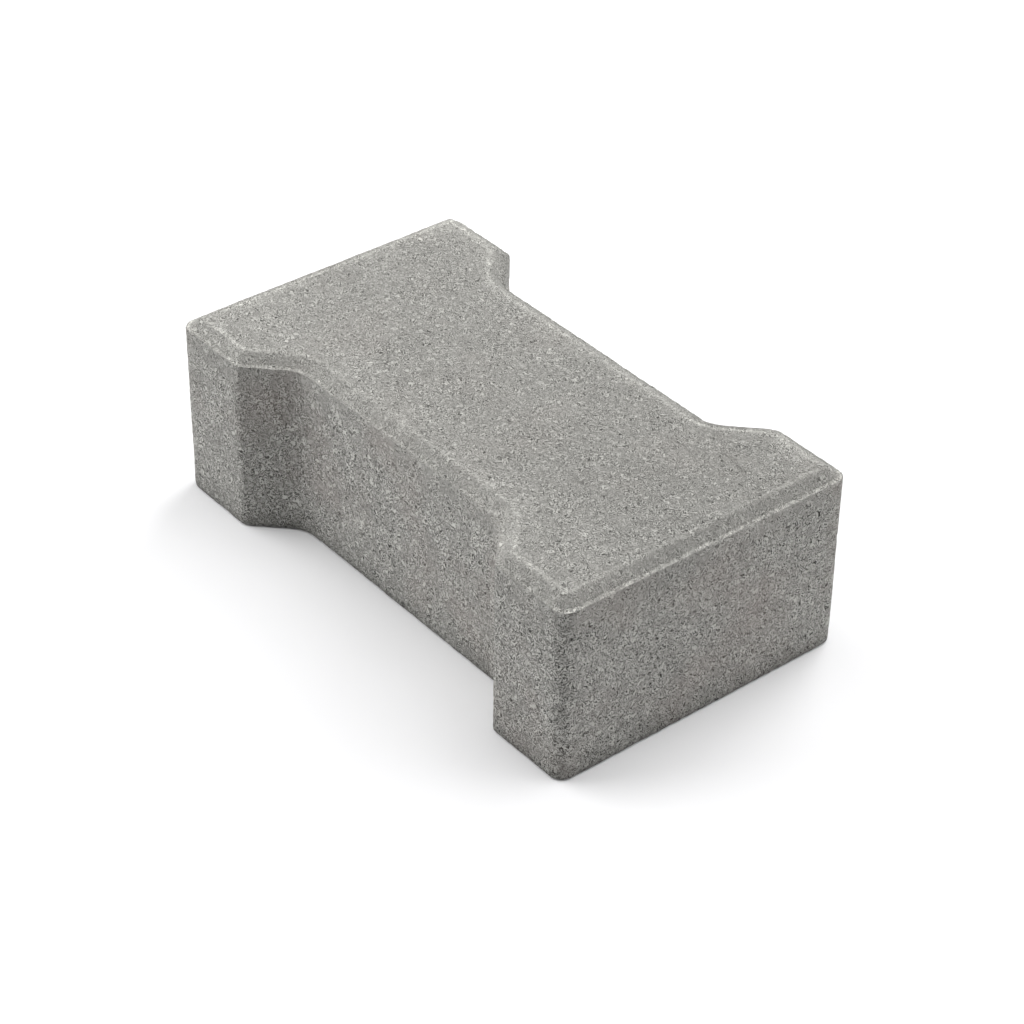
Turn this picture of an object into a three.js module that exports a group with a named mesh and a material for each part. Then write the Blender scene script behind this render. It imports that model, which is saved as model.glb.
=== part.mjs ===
// Concrete paving stone: a double-headed block for paths and yards, pressed in one piece from
// dry concrete. Its two ends stand out as ears past a straight waist, and the ears of the
// neighbouring stones lie in the hollows beside that waist.
//
// Millimetres, +Z up. The stone lies as it is laid: the origin is the middle of its underside,
// +X runs along its length and the bevelled wearing face is on top.

import * as THREE from "three";
import { toCreasedNormals } from "three/addons/utils/BufferGeometryUtils.js";

// The plan, at the mould's wall.
const LENGTH = 200; // end face to end face
const WAIST_WIDTH = 85; // across the straight waist
const EAR_PROJECTION = 15; // how far an ear stands out past the waist, each side
const EAR_FLANK = 32.5; // an ear's straight side, from the end face to its shoulder
const HAUNCH_ANGLE = 45; // slope from shoulder to waist, in degrees to the length
const END_CORNER_RADIUS = 5; // end face to flank
const SHOULDER_RADIUS = 4; // flank to haunch
const WAIST_CORNER_RADIUS = 12; // haunch to waist, a hollow corner

// The section through its edge, from the underside up.
const THICKNESS = 68; // underside to wearing face
const BASE_ARRIS_RADIUS = 1; // underside to side wall
const RIM_WIDTH = 1.2; // level rim that the tamper shoe leaves inside the mould's wall
const BEVEL_WIDTH = 3.6; // level width of the bevel, from the rim to the wearing face
const BEVEL_HEIGHT = 3.5; // rim to wearing face
const TOP_ARRIS_RADIUS = 2; // bevel to wearing face
const SHOE_CORNER_RADIUS = 1.5; // smallest plan radius that the tamper shoe is cut to

// Facets: steps for each rounded corner, and the angle past which an edge looks sharp.
const PLAN_STEPS = 8;
const SECTION_STEPS = 3;
const CREASE_ANGLE = 20;

const earWidth = WAIST_WIDTH + 2 * EAR_PROJECTION;
const haunchLength = EAR_PROJECTION / Math.tan(THREE.MathUtils.degToRad(HAUNCH_ANGLE));
const shoulderX = LENGTH / 2 - EAR_FLANK;
const waistX = shoulderX - haunchLength;
const rimHeight = THICKNESS - BEVEL_HEIGHT;
const faceInset = RIM_WIDTH + BEVEL_WIDTH;

// The points that round one corner of an outline. The arc takes up to half of each side that
// meets there, so a short side limits it, and a corner without a radius stays a single point.
function roundCorner(before, corner, after, radius, steps) {
  const back = before.clone().sub(corner);
  const onward = after.clone().sub(corner);
  const halfAngle = back.angleTo(onward) / 2;
  const room = Math.min(back.length(), onward.length()) / 2;
  const reach = Math.min(radius / Math.tan(halfAngle), room);
  if (reach === 0) return [corner];
  const fitted = reach * Math.tan(halfAngle);
  const hollow = back.cross(onward) > 0;
  const start = corner.clone().add(back.setLength(reach));
  const end = corner.clone().add(onward.setLength(reach));
  const toCentre = back.clone().add(onward).setLength(fitted / Math.sin(halfAngle));
  const centre = corner.clone().add(toCentre);
  const startAngle = start.sub(centre).angle();
  const endAngle = end.sub(centre).angle();
  const arc = new THREE.EllipseCurve(
    centre.x,
    centre.y,
    fitted,
    fitted,
    startAngle,
    endAngle,
    hollow,
  );
  return arc.getPoints(steps);
}

// The unit normal on the left of the line from one point to the next: inwards, on an outline
// that runs counter-clockwise.
function inwardNormal(from, to) {
  const along = to.clone().sub(from).normalize();
  return new THREE.Vector2(-along.y, along.x);
}

// A corner moved inwards, so that both the sides that meet there move in by the inset.
function insetCorner(before, corner, after, inset) {
  const first = inwardNormal(before, corner);
  const second = inwardNormal(corner, after);
  const shift = first.clone().add(second).multiplyScalar(inset / (1 + first.dot(second)));
  return corner.clone().add(shift);
}

// One quarter of the plan, counter-clockwise from the end face, and its mirror images.
function quarterPlan(signX, signY) {
  const corners = [
    { at: new THREE.Vector2(LENGTH / 2, earWidth / 2), radius: END_CORNER_RADIUS },
    { at: new THREE.Vector2(shoulderX, earWidth / 2), radius: SHOULDER_RADIUS },
    { at: new THREE.Vector2(waistX, WAIST_WIDTH / 2), radius: WAIST_CORNER_RADIUS, hollow: true },
  ];
  for (const corner of corners) corner.at.set(corner.at.x * signX, corner.at.y * signY);
  return signX * signY > 0 ? corners : corners.reverse();
}

const plan = [
  ...quarterPlan(1, 1),
  ...quarterPlan(-1, 1),
  ...quarterPlan(-1, -1),
  ...quarterPlan(1, -1),
];

// A corner's radius on the outline that lies an inset inside the mould's wall. The offset arcs
// share their centre, down to the smallest corner of the tamper shoe.
function insetRadius({ radius, hollow }, inset) {
  if (hollow) return radius + inset;
  return Math.max(radius - inset, Math.min(radius, SHOE_CORNER_RADIUS));
}

// The plan's outline, an inset inside the mould's wall, with its corners rounded.
function outline(inset) {
  const count = plan.length;
  const neighbour = (i, step) => plan[(i + step + count) % count].at;
  const corners = plan.map(({ at }, i) =>
    insetCorner(neighbour(i, -1), at, neighbour(i, 1), inset),
  );
  return corners.flatMap((corner, i) => {
    const before = corners[(i - 1 + count) % count];
    const after = corners[(i + 1) % count];
    return roundCorner(before, corner, after, insetRadius(plan[i], inset), PLAN_STEPS);
  });
}

// The section as points of inset and height. The first and last corners only say which way
// the underside and the wearing face run.
function sectionLevels() {
  const corners = [
    new THREE.Vector2(faceInset, 0),
    new THREE.Vector2(0, 0),
    new THREE.Vector2(0, rimHeight),
    new THREE.Vector2(RIM_WIDTH, rimHeight),
    new THREE.Vector2(faceInset, THICKNESS),
    new THREE.Vector2(faceInset + BEVEL_WIDTH, THICKNESS),
  ];
  const radii = [BASE_ARRIS_RADIUS, 0, 0, TOP_ARRIS_RADIUS];
  return radii.flatMap((radius, i) =>
    roundCorner(corners[i], corners[i + 1], corners[i + 2], radius, SECTION_STEPS),
  );
}

// The flat end of a loft, facing up. The outline's two long sides mirror each other, so their
// points pair off and the face is cut into strips across the stone.
function cap(first, count) {
  const faces = [];
  for (let i = 0; i < count / 2 - 1; i++) {
    const left = first + i;
    const right = first + count - 1 - i;
    faces.push([left, left + 1, right - 1]);
    faces.push([left, right - 1, right]);
  }
  return faces;
}

// A closed loft through outlines that all have the same number of points, lowest first.
function loft(levels) {
  const rings = levels.map((level) => outline(level.x));
  const count = rings[0].length;
  const lastRing = (rings.length - 1) * count;
  const positions = rings.flatMap((ring, i) =>
    ring.flatMap((point) => [point.x, point.y, levels[i].y]),
  );
  const faces = [];
  for (let ring = 0; ring < lastRing; ring += count) {
    for (let i = 0; i < count; i++) {
      const low = ring + i;
      const nextLow = ring + ((i + 1) % count);
      faces.push([low, nextLow, nextLow + count]);
      faces.push([low, nextLow + count, low + count]);
    }
  }
  for (const [a, b, c] of cap(0, count)) faces.push([c, b, a]);
  faces.push(...cap(lastRing, count));
  const geometry = new THREE.BufferGeometry();
  geometry.setAttribute("position", new THREE.Float32BufferAttribute(positions, 3));
  geometry.setIndex(faces.flat());
  return toCreasedNormals(geometry, THREE.MathUtils.degToRad(CREASE_ANGLE));
}

const castConcrete = new THREE.MeshStandardMaterial({
  name: "cast_concrete",
  color: 0xa5a39f,
  roughness: 0.95,
  metalness: 0,
});

const pavingStone = new THREE.Mesh(loft(sectionLevels()), castConcrete);
pavingStone.name = "paving_stone";

const group = new THREE.Group();
group.name = "concrete_paving_stone";
group.add(pavingStone);

export default group;
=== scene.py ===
# A concrete paving stone as it leaves the block machine: one pressed body with a cast surface,
# lying on its underside on a pale floor. All sizes are in metres: the stone's are millimetres
# times MM.
import math

import bpy
from mathutils import Matrix, Vector


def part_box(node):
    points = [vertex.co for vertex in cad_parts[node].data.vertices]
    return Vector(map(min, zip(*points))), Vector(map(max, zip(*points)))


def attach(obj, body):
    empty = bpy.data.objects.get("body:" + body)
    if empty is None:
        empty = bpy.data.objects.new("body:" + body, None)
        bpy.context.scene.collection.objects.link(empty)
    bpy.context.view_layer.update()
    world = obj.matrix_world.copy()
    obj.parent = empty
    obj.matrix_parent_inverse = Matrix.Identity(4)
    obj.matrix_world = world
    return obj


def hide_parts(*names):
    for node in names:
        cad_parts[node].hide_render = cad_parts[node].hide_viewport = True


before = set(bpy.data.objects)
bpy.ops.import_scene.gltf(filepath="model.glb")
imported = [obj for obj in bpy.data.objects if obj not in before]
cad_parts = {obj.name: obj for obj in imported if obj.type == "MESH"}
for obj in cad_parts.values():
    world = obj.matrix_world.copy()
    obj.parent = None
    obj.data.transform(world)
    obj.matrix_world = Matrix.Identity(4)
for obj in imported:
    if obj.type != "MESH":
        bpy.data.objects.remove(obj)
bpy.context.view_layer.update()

# ---------------------------------------------------------------------------------------------
# The body. A steel mould gives the walls their plan, with two ears past a straight waist, and
# a tamper shoe presses the top: it leaves a narrow level rim inside the mould's wall, then the
# bevel and the wearing face. The concrete is nearly dry, so it stands as soon as it is pressed.
# ---------------------------------------------------------------------------------------------

MM = 0.001

body_low, body_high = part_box("paving_stone")
body_size = body_high - body_low

PLAN_SIZES = {
    "Length": body_size.x,
    "Ear Width": body_size.y,
    "Waist Width": 85 * MM,
    "Ear Flank": 32.5 * MM,
    "Haunch Angle": math.radians(45),
    "End Corner Radius": 5 * MM,
    "Shoulder Radius": 4 * MM,
    "Waist Corner Radius": 12 * MM,
    "Shoe Corner Radius": 1.5 * MM,
}
SECTION_SIZES = {
    "Thickness": body_size.z,
    "Base Arris Radius": 1 * MM,
    "Rim Width": 1.2 * MM,
    "Rim Arris Radius": 0.3 * MM,
    "Bevel Width": 3.6 * MM,
    "Bevel Height": 3.5 * MM,
    "Bevel Foot Radius": 0.5 * MM,
    "Top Arris Radius": 2 * MM,
    "Face Edge Width": 1.6 * MM,
}
MESH_COUNTS = {
    "Points Along": 207,
    "Points Across": 113,
    "Points Up": 83,
    "Shoe Rows": 21,
}
# The steps that round each corner of the plan and of the section.
PLAN_ARC_STEPS = 16
SECTION_ARC_STEPS = 8
# How far below the rim's arris the shoe's finer rows start.
SHOE_ROWS_START = 0.8 * MM
# The power by which an end's own bend fades out towards the middle of the stone.
END_HOLD = 16.0
SURFACE_SIZES = {
    "Wave Length": 22 * MM,
    "Wave Depth": 0.12 * MM,
    "Grain Size": 2.6 * MM,
    "Grain Depth": 0.16 * MM,
    "Pit Spacing": 7 * MM,
    "Pit Radius": 0.8 * MM,
    "Pit Depth": 0.6 * MM,
    "Rag Length": 3.5 * MM,
    "Rag Depth": 0.2 * MM,
}
# Each unit of the seed moves the noises on by one step, in metres.
SEED = 7.0
SEED_STEP = (0.31, 0.17, 0.23)


def feed(tree, socket, value):
    """Gives an input a value, or links it to a socket or to a node's first output."""
    if isinstance(value, bpy.types.Node):
        value = next(output for output in value.outputs if output.enabled)
    if isinstance(value, bpy.types.NodeSocket):
        tree.links.new(value, socket)
    else:
        socket.default_value = value


def add_node(tree, kind, inputs=None, **settings):
    """Adds a node with its settings and feeds its inputs, which are named or numbered."""
    node = tree.nodes.new(kind)
    for name, value in settings.items():
        setattr(node, name, value)
    for key, value in (inputs or {}).items():
        feed(tree, node.inputs[key], value)
    return node


def new_tree(name, result, sockets):
    """A geometry tree with one result, and inputs that are given as names and kinds."""
    tree = bpy.data.node_groups.new(name, "GeometryNodeTree")
    tree.interface.new_socket(result, in_out="OUTPUT", socket_type="NodeSocketGeometry")
    for socket_name, kind in sockets.items():
        tree.interface.new_socket(socket_name, in_out="INPUT", socket_type=f"NodeSocket{kind}")
    given = add_node(tree, "NodeGroupInput").outputs
    return tree, given, add_node(tree, "NodeGroupOutput")


def rounded_line(tree, corners, radii, steps):
    """A line through corners that are pairs of values or sockets, each rounded to its radius."""
    line = add_node(tree, "GeometryNodeCurvePrimitiveLine")
    line = add_node(tree, "GeometryNodeResampleCurve", {"Curve": line, "Count": len(corners)})
    index = add_node(tree, "GeometryNodeInputIndex")
    place = add_node(tree, "GeometryNodeIndexSwitch", {"Index": index}, data_type="VECTOR")
    radius = add_node(tree, "GeometryNodeIndexSwitch", {"Index": index}, data_type="FLOAT")
    for _ in corners[2:]:
        place.index_switch_items.new()
        radius.index_switch_items.new()
    for i, (x, y) in enumerate(corners):
        corner = add_node(tree, "ShaderNodeCombineXYZ", {"X": x, "Y": y})
        feed(tree, place.inputs[i + 1], corner)
        feed(tree, radius.inputs[i + 1], radii[i])
    line = add_node(tree, "GeometryNodeSetPosition", {"Geometry": line, "Position": place})
    return add_node(
        tree,
        "GeometryNodeFilletCurve",
        {"Curve": line, "Count": steps, "Radius": radius},
        mode="POLY",
    )


# One quarter of the plan, at some inset from the mould's wall: from the middle of an end face
# round the end corner and the shoulder, down the haunch, and along the waist to its middle.
outline, given, result = new_tree(
    "mould outline", "Quarter", {name: "Float" for name in [*PLAN_SIZES, "Inset"]}
)
inset = given["Inset"]
half_length = add_node(outline, "ShaderNodeMath", {0: given["Length"], 1: 0.5}, operation="MULTIPLY")
half_ear = add_node(outline, "ShaderNodeMath", {0: given["Ear Width"], 1: 0.5}, operation="MULTIPLY")
half_waist = add_node(
    outline, "ShaderNodeMath", {0: given["Waist Width"], 1: 0.5}, operation="MULTIPLY"
)
haunch_slope = add_node(
    outline, "ShaderNodeMath", {0: given["Haunch Angle"]}, operation="TANGENT"
)
half_angle = add_node(
    outline, "ShaderNodeMath", {0: given["Haunch Angle"], 1: 0.5}, operation="MULTIPLY"
)
half_slope = add_node(outline, "ShaderNodeMath", {0: half_angle}, operation="TANGENT")
projection = add_node(outline, "ShaderNodeMath", {0: half_ear, 1: half_waist}, operation="SUBTRACT")
haunch_run = add_node(
    outline, "ShaderNodeMath", {0: projection, 1: haunch_slope}, operation="DIVIDE"
)
wall_shoulder = add_node(
    outline, "ShaderNodeMath", {0: half_length, 1: given["Ear Flank"]}, operation="SUBTRACT"
)
shoulder_x = add_node(
    outline, "ShaderNodeMath", {0: inset, 1: half_slope, 2: wall_shoulder}, operation="MULTIPLY_ADD"
)
waist_x = add_node(outline, "ShaderNodeMath", {0: shoulder_x, 1: haunch_run}, operation="SUBTRACT")
end_x = add_node(outline, "ShaderNodeMath", {0: half_length, 1: inset}, operation="SUBTRACT")
ear_y = add_node(outline, "ShaderNodeMath", {0: half_ear, 1: inset}, operation="SUBTRACT")
waist_y = add_node(outline, "ShaderNodeMath", {0: half_waist, 1: inset}, operation="SUBTRACT")
corner_radii = []
for mould_radius in (given["End Corner Radius"], given["Shoulder Radius"]):
    offset_radius = add_node(
        outline, "ShaderNodeMath", {0: mould_radius, 1: inset}, operation="SUBTRACT"
    )
    corner_radii.append(
        add_node(
            outline,
            "ShaderNodeMath",
            {0: offset_radius, 1: given["Shoe Corner Radius"]},
            operation="MAXIMUM",
        )
    )
end_radius, shoulder_radius = corner_radii
hollow_radius = add_node(
    outline, "ShaderNodeMath", {0: given["Waist Corner Radius"], 1: inset}, operation="ADD"
)
quarter = rounded_line(
    outline,
    [(end_x, 0.0), (end_x, ear_y), (shoulder_x, ear_y), (waist_x, waist_y), (0.0, waist_y)],
    [0.0, end_radius, shoulder_radius, hollow_radius, 0.0],
    steps=PLAN_ARC_STEPS,
)
feed(outline, result.inputs["Quarter"], quarter)

# The cast surface lies a little inside the mould's wall: long shallow waves, the tops of the
# sand grains, pits where paste was missing, and a ragged edge where mould and shoe part. Each
# range says where in its noise a form starts and where it is at its deepest.
WAVE_RANGE = (0.3, 0.7)
GRAIN_TOP_RANGE = (0.4, 0.7)
RAG_RANGE = (0.4, 0.75)
RAGGED_REACH = (0.2 * MM, 1.4 * MM)

surface, given, result = new_tree(
    "cast surface",
    "Mesh",
    {"Mesh": "Geometry", **{name: "Float" for name in [*SURFACE_SIZES, "From Arris", "Seed"]}},
)
place = add_node(surface, "GeometryNodeInputPosition")
shift = add_node(
    surface, "ShaderNodeVectorMath", {0: SEED_STEP, "Scale": given["Seed"]}, operation="SCALE"
)
seeded = add_node(surface, "ShaderNodeVectorMath", {0: place, 1: shift}, operation="ADD")

wave_scale = add_node(
    surface, "ShaderNodeMath", {0: 1.0, 1: given["Wave Length"]}, operation="DIVIDE"
)
waves = add_node(
    surface, "ShaderNodeTexNoise", {"Vector": seeded, "Scale": wave_scale, "Detail": 1.0}
)
wave_low = add_node(
    surface,
    "ShaderNodeMapRange",
    {
        "Value": waves.outputs["Fac"],
        "From Min": WAVE_RANGE[0],
        "From Max": WAVE_RANGE[1],
        "To Max": given["Wave Depth"],
    },
    interpolation_type="SMOOTHSTEP",
)
grain_scale = add_node(
    surface, "ShaderNodeMath", {0: 1.0, 1: given["Grain Size"]}, operation="DIVIDE"
)
grain = add_node(
    surface, "ShaderNodeTexNoise", {"Vector": seeded, "Scale": grain_scale, "Detail": 2.0}
)
grain_low = add_node(
    surface,
    "ShaderNodeMapRange",
    {
        "Value": grain.outputs["Fac"],
        "From Min": GRAIN_TOP_RANGE[0],
        "From Max": GRAIN_TOP_RANGE[1],
        "To Max": given["Grain Depth"],
    },
    interpolation_type="SMOOTHSTEP",
)
pit_scale = add_node(
    surface, "ShaderNodeMath", {0: 1.0, 1: given["Pit Spacing"]}, operation="DIVIDE"
)
pits = add_node(surface, "ShaderNodeTexVoronoi", {"Vector": seeded, "Scale": pit_scale})
pit_edge = add_node(
    surface,
    "ShaderNodeMath",
    {0: given["Pit Radius"], 1: given["Pit Spacing"]},
    operation="DIVIDE",
)
pit_low = add_node(
    surface,
    "ShaderNodeMapRange",
    {
        "Value": pits.outputs["Distance"],
        "From Min": 0.0,
        "From Max": pit_edge,
        "To Min": given["Pit Depth"],
        "To Max": 0.0,
    },
    interpolation_type="SMOOTHSTEP",
)
rag_scale = add_node(
    surface, "ShaderNodeMath", {0: 1.0, 1: given["Rag Length"]}, operation="DIVIDE"
)
rags = add_node(
    surface, "ShaderNodeTexNoise", {"Vector": seeded, "Scale": rag_scale, "Detail": 3.0}
)
rag_low = add_node(
    surface,
    "ShaderNodeMapRange",
    {
        "Value": rags.outputs["Fac"],
        "From Min": RAG_RANGE[0],
        "From Max": RAG_RANGE[1],
        "To Max": given["Rag Depth"],
    },
)
off_arris = add_node(surface, "ShaderNodeMath", {0: given["From Arris"]}, operation="ABSOLUTE")
ragged_share = add_node(
    surface,
    "ShaderNodeMapRange",
    {
        "Value": off_arris,
        "From Min": RAGGED_REACH[0],
        "From Max": RAGGED_REACH[1],
        "To Min": 1.0,
        "To Max": 0.0,
    },
)
low = add_node(surface, "ShaderNodeMath", {0: wave_low, 1: grain_low}, operation="ADD")
low = add_node(surface, "ShaderNodeMath", {0: low, 1: pit_low}, operation="ADD")
low = add_node(
    surface, "ShaderNodeMath", {0: rag_low, 1: ragged_share, 2: low}, operation="MULTIPLY_ADD"
)
inward = add_node(surface, "ShaderNodeMath", {0: low, 1: -1.0}, operation="MULTIPLY")
normal = add_node(surface, "GeometryNodeInputNormal")
offset = add_node(
    surface, "ShaderNodeVectorMath", {0: normal, "Scale": inward}, operation="SCALE"
)
sunk = add_node(
    surface, "GeometryNodeSetPosition", {"Geometry": given["Mesh"], "Offset": offset}
)
feed(surface, result.inputs["Mesh"], sunk)

# The pressed form: a box of evenly spaced points is drawn out to the plan and the section. Its
# rows up the wall keep one spacing, and the shoe's rows, from the rim to the face, a finer one.
stone, given, result = new_tree(
    "pressed stone",
    "Mesh",
    {
        **{name: "Float" for name in [*PLAN_SIZES, *SECTION_SIZES, *SURFACE_SIZES, "Seed"]},
        **{name: "Int" for name in MESH_COUNTS},
        "Concrete": "Material",
    },
)
plan_values = {name: given[name] for name in PLAN_SIZES}
face_inset = add_node(
    stone, "ShaderNodeMath", {0: given["Rim Width"], 1: given["Bevel Width"]}, operation="ADD"
)
wall_line = add_node(stone, "GeometryNodeGroup", node_tree=outline, label="outline at the wall")
face_line = add_node(
    stone, "GeometryNodeGroup", node_tree=outline, label="outline of the wearing face"
)
for line, line_inset in ((wall_line, 0.0), (face_line, face_inset)):
    for name, value in plan_values.items():
        feed(stone, line.inputs[name], value)
    feed(stone, line.inputs["Inset"], line_inset)

rim_height = add_node(
    stone, "ShaderNodeMath", {0: given["Thickness"], 1: given["Bevel Height"]}, operation="SUBTRACT"
)
base_inset = add_node(
    stone, "ShaderNodeMath", {0: given["Base Arris Radius"], 1: 2.0}, operation="MULTIPLY"
)
last_inset = add_node(
    stone, "ShaderNodeMath", {0: face_inset, 1: given["Face Edge Width"]}, operation="ADD"
)
section = rounded_line(
    stone,
    [
        (base_inset, 0.0),
        (0.0, 0.0),
        (0.0, rim_height),
        (given["Rim Width"], rim_height),
        (face_inset, given["Thickness"]),
        (last_inset, given["Thickness"]),
    ],
    [
        0.0,
        given["Base Arris Radius"],
        given["Rim Arris Radius"],
        given["Bevel Foot Radius"],
        given["Top Arris Radius"],
        0.0,
    ],
    steps=SECTION_ARC_STEPS,
)
section_length = add_node(stone, "GeometryNodeCurveLength", {"Curve": section})
arris_length = add_node(
    stone,
    "ShaderNodeMath",
    {0: given["Base Arris Radius"], 1: math.pi / 2, 2: rim_height},
    operation="MULTIPLY_ADD",
)
rows = add_node(stone, "ShaderNodeMath", {0: given["Points Up"], 1: 1.0}, operation="SUBTRACT")
shoe_share = add_node(stone, "ShaderNodeMath", {0: given["Shoe Rows"], 1: rows}, operation="DIVIDE")
arris_up = add_node(
    stone, "ShaderNodeMath", {0: shoe_share, 1: -2.0, 2: 1.0}, operation="MULTIPLY_ADD"
)

box = add_node(
    stone,
    "GeometryNodeMeshCube",
    {
        "Size": (2.0, 2.0, 2.0),
        "Vertices X": given["Points Along"],
        "Vertices Y": given["Points Across"],
        "Vertices Z": given["Points Up"],
    },
)
box_place = add_node(stone, "GeometryNodeInputPosition")
box_up = add_node(stone, "ShaderNodeSeparateXYZ", {0: box_place}).outputs["Z"]
fine_start = add_node(
    stone, "ShaderNodeMath", {0: arris_length, 1: SHOE_ROWS_START}, operation="SUBTRACT"
)
wall_part = add_node(
    stone,
    "ShaderNodeMapRange",
    {"Value": box_up, "From Min": -1.0, "From Max": arris_up, "To Max": fine_start},
)
shoe_length = add_node(
    stone, "ShaderNodeMath", {0: section_length, 1: fine_start}, operation="SUBTRACT"
)
shoe_part = add_node(
    stone,
    "ShaderNodeMapRange",
    {"Value": box_up, "From Min": arris_up, "From Max": 1.0, "To Max": shoe_length},
)
along_section = add_node(stone, "ShaderNodeMath", {0: wall_part, 1: shoe_part}, operation="ADD")
section_place = add_node(
    stone,
    "GeometryNodeSampleCurve",
    {"Curves": section, "Length": along_section},
    mode="LENGTH",
    use_all_curves=True,
).outputs["Position"]
level = add_node(stone, "ShaderNodeSeparateXYZ", {0: section_place})
inset_share = add_node(
    stone, "ShaderNodeMath", {0: level.outputs["X"], 1: face_inset}, operation="DIVIDE"
)

# Along the plan, the end face takes its own length up to the middle of the corner's arc, and
# the flank, haunch and waist take the rest.
quarter_length = add_node(stone, "GeometryNodeCurveLength", {"Curve": wall_line})
half_end = add_node(stone, "ShaderNodeMath", {0: given["Ear Width"], 1: 0.5}, operation="MULTIPLY")
corner_length = add_node(
    stone,
    "ShaderNodeMath",
    {0: given["End Corner Radius"], 1: math.pi / 4 - 1, 2: half_end},
    operation="MULTIPLY_ADD",
)
side_length = add_node(
    stone, "ShaderNodeMath", {0: corner_length, 1: quarter_length}, operation="SUBTRACT"
)
box_share = add_node(stone, "ShaderNodeVectorMath", {0: box_place}, operation="ABSOLUTE")
box_side = add_node(stone, "ShaderNodeVectorMath", {0: box_place}, operation="SIGN")
shares = add_node(stone, "ShaderNodeSeparateXYZ", {0: box_share})
share_x, share_y = shares.outputs["X"], shares.outputs["Y"]
along_side = add_node(
    stone, "ShaderNodeMath", {0: share_x, 1: side_length, 2: quarter_length}, operation="MULTIPLY_ADD"
)
along_end = add_node(stone, "ShaderNodeMath", {0: share_y, 1: corner_length}, operation="MULTIPLY")

line_place = add_node(stone, "GeometryNodeInputPosition")
line_index = add_node(stone, "GeometryNodeInputIndex")
face_place = add_node(
    stone,
    "GeometryNodeSampleIndex",
    {"Geometry": face_line, "Value": line_place, "Index": line_index},
    data_type="FLOAT_VECTOR",
)
to_face = add_node(stone, "ShaderNodeVectorMath", {0: face_place, 1: line_place}, operation="SUBTRACT")
edge_places = []
for along in (along_side, along_end, corner_length):
    sampled = add_node(
        stone,
        "GeometryNodeSampleCurve",
        {"Curves": wall_line, "Value": to_face, "Length": along},
        mode="LENGTH",
        data_type="FLOAT_VECTOR",
        use_all_curves=True,
    )
    edge_places.append(
        add_node(
            stone,
            "ShaderNodeVectorMath",
            {0: sampled.outputs["Value"], 1: inset_share, 2: sampled.outputs["Position"]},
            operation="MULTIPLY_ADD",
        )
    )
side_place, end_place, corner_place = edge_places

# Between its edges a level face is blended: the side's line drawn in towards the middle, and
# near the ends the end's own bend as well, so that no row of points folds over the next.
side_weight = add_node(stone, "ShaderNodeCombineXYZ", {"X": 1.0, "Y": share_y})
end_weight = add_node(stone, "ShaderNodeCombineXYZ", {"X": share_x, "Y": 1.0})
corner_weight = add_node(stone, "ShaderNodeCombineXYZ", {"X": share_x, "Y": share_y})
end_part = add_node(
    stone, "ShaderNodeVectorMath", {0: end_place, 1: end_weight}, operation="MULTIPLY"
)
corner_part = add_node(
    stone, "ShaderNodeVectorMath", {0: corner_place, 1: corner_weight}, operation="MULTIPLY"
)
end_bend = add_node(
    stone, "ShaderNodeVectorMath", {0: end_part, 1: corner_part}, operation="SUBTRACT"
)
end_hold = add_node(stone, "ShaderNodeMath", {0: share_x, 1: END_HOLD}, operation="POWER")
side_part = add_node(
    stone, "ShaderNodeVectorMath", {0: side_place, 1: side_weight}, operation="MULTIPLY"
)
level_place = add_node(
    stone, "ShaderNodeVectorMath", {0: end_bend, 1: end_hold, 2: side_part}, operation="MULTIPLY_ADD"
)
height = add_node(stone, "ShaderNodeCombineXYZ", {"Z": level.outputs["Y"]})
stone_place = add_node(
    stone, "ShaderNodeVectorMath", {0: level_place, 1: box_side, 2: height}, operation="MULTIPLY_ADD"
)

# How far a point lies from the outer arris, over the rim and bevel and on across the face. The
# material and the ragged edge go by it.
remainder = add_node(
    stone, "ShaderNodeVectorMath", {0: (1.0, 1.0, 1.0), 1: box_share}, operation="SUBTRACT"
)
face_half_waist = add_node(
    stone, "ShaderNodeMath", {0: given["Waist Width"], 1: 0.5}, operation="MULTIPLY"
)
to_middle = add_node(stone, "ShaderNodeCombineXYZ", {"X": quarter_length, "Y": face_half_waist})
across_face = add_node(
    stone, "ShaderNodeVectorMath", {0: remainder, 1: to_middle}, operation="MULTIPLY"
)
across_face = add_node(stone, "ShaderNodeSeparateXYZ", {0: across_face})
across_face = add_node(
    stone,
    "ShaderNodeMath",
    {0: across_face.outputs["X"], 1: across_face.outputs["Y"]},
    operation="MINIMUM",
)
from_arris = add_node(
    stone, "ShaderNodeMath", {0: along_section, 1: arris_length}, operation="SUBTRACT"
)
from_arris = add_node(
    stone, "ShaderNodeMath", {0: from_arris, 1: across_face}, operation="ADD"
)
marked = add_node(
    stone,
    "GeometryNodeStoreNamedAttribute",
    {"Geometry": box.outputs["Mesh"], "Name": "from_arris", "Value": from_arris},
    data_type="FLOAT",
    domain="POINT",
)
formed = add_node(
    stone, "GeometryNodeSetPosition", {"Geometry": marked, "Position": stone_place}
)
marked_distance = add_node(
    stone, "GeometryNodeInputNamedAttribute", {"Name": "from_arris"}, data_type="FLOAT"
)
cast = add_node(stone, "GeometryNodeGroup", node_tree=surface)
for name in SURFACE_SIZES:
    feed(stone, cast.inputs[name], given[name])
feed(stone, cast.inputs["Seed"], given["Seed"])
feed(stone, cast.inputs["From Arris"], marked_distance)
feed(stone, cast.inputs["Mesh"], formed)
smooth = add_node(stone, "GeometryNodeSetShadeSmooth", {"Geometry": cast})
whole = add_node(stone, "GeometryNodeRealizeInstances", {"Geometry": smooth})
finished = add_node(
    stone, "GeometryNodeSetMaterial", {"Geometry": whole, "Material": given["Concrete"]}
)
feed(stone, result.inputs["Mesh"], finished)


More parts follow.
